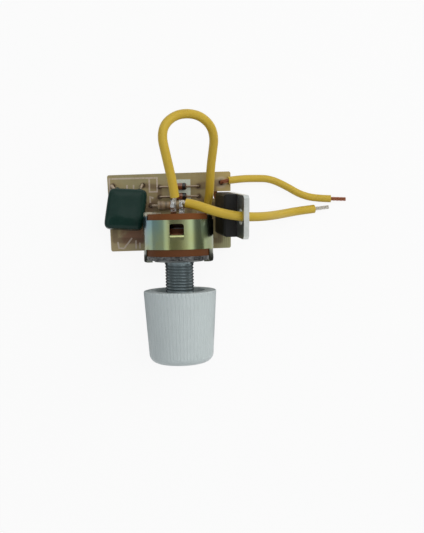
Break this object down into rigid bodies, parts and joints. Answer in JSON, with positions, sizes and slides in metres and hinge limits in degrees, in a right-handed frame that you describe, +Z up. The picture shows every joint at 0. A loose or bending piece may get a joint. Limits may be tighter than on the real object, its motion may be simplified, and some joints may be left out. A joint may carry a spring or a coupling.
{
  "type": "rotary dimmer",
  "caption": "Open lamp dimmer module: rotary control with threaded bushing and fluted knob on a small circuit board, with a jumper wire and two flying leads.",
  "frame": {"origin": "on the shaft's axis at the front plate's raised pad, the face that seats on the panel", "axes": "-Y along the shaft towards the knob, +Z up from the board's component side, +X to the leads"},
  "size_m": [0.0624, 0.0613, 0.0219],
  "materials": {
    "zinc_yellow_steel": "yellow zinc plating with a faint iridescence",
    "zinc_steel": "clear zinc plating",
    "zinc_casting": "dull dark grey zinc alloy",
    "brown_phenolic": "pressed phenolic paper, satin",
    "carbon": "printed carbon",
    "contact_bronze": "bright spring bronze",
    "tinned_metal": "tinned",
    "brown_moulding": "moulded",
    "solder": "bright solder",
    "shaft_aluminium": "turned",
    "white_plastic": "moulded, satin",
    "tan_board": "laminated board, semi-matt",
    "green_dip": "dipped lacquer, glossy",
    "black_epoxy": "moulded epoxy",
    "tab_metal": "plated copper",
    "beige_lacquer": "lacquered",
    "amber_glass": "clear amber glass",
    "yellow_insulation": "extruded vinyl, satin",
    "tinned_strands": "tinned strands",
    "copper_strands": "bare copper strands"
  },
  "bodies": {
    "module": {"control_can": "zinc_yellow_steel", "front_plate": "zinc_steel", "threaded_bushing": "zinc_casting", "track_wafer": "brown_phenolic", "resistive_track": "carbon", "collector_ring": "contact_bronze", "track_lugs": "tinned_metal", "track_rivets": "contact_bronze", "switch_wafer": "brown_phenolic", "switch_strips": "contact_bronze", "switch_lugs": "tinned_metal", "switch_rivets": "tinned_metal", "lug_solder": "solder", "circuit_board": "tan_board", "solder_joints": "solder", "film_capacitor": "green_dip", "capacitor_leads": "tinned_metal", "triac_body": "black_epoxy", "triac_tab": "tab_metal", "triac_legs": "tinned_metal", "timing_resistor": "beige_lacquer", "resistor_leads": "tinned_metal", "trigger_diac": "amber_glass", "diac_leads": "tinned_metal", "clamp_diode": "amber_glass", "diode_leads": "tinned_metal", "jumper_wire": "yellow_insulation", "jumper_core": "tinned_strands", "switch_lead": "yellow_insulation", "switch_lead_core": "tinned_strands", "board_lead": "yellow_insulation", "board_lead_core": "copper_strands"},
    "spindle": {"shaft": "shaft_aluminium", "retaining_ring": "zinc_steel", "rotor": "brown_moulding", "track_wiper": "contact_bronze", "switch_bridge": "contact_bronze", "knob": "white_plastic"}
  },
  "joints": [
    {"name": "knob_turn", "type": "hinge", "parent": "module", "child": "spindle", "pos_m": [0, 0, 0], "axis": [0, 1, 0], "range_deg": [0, 300]}
  ]
}
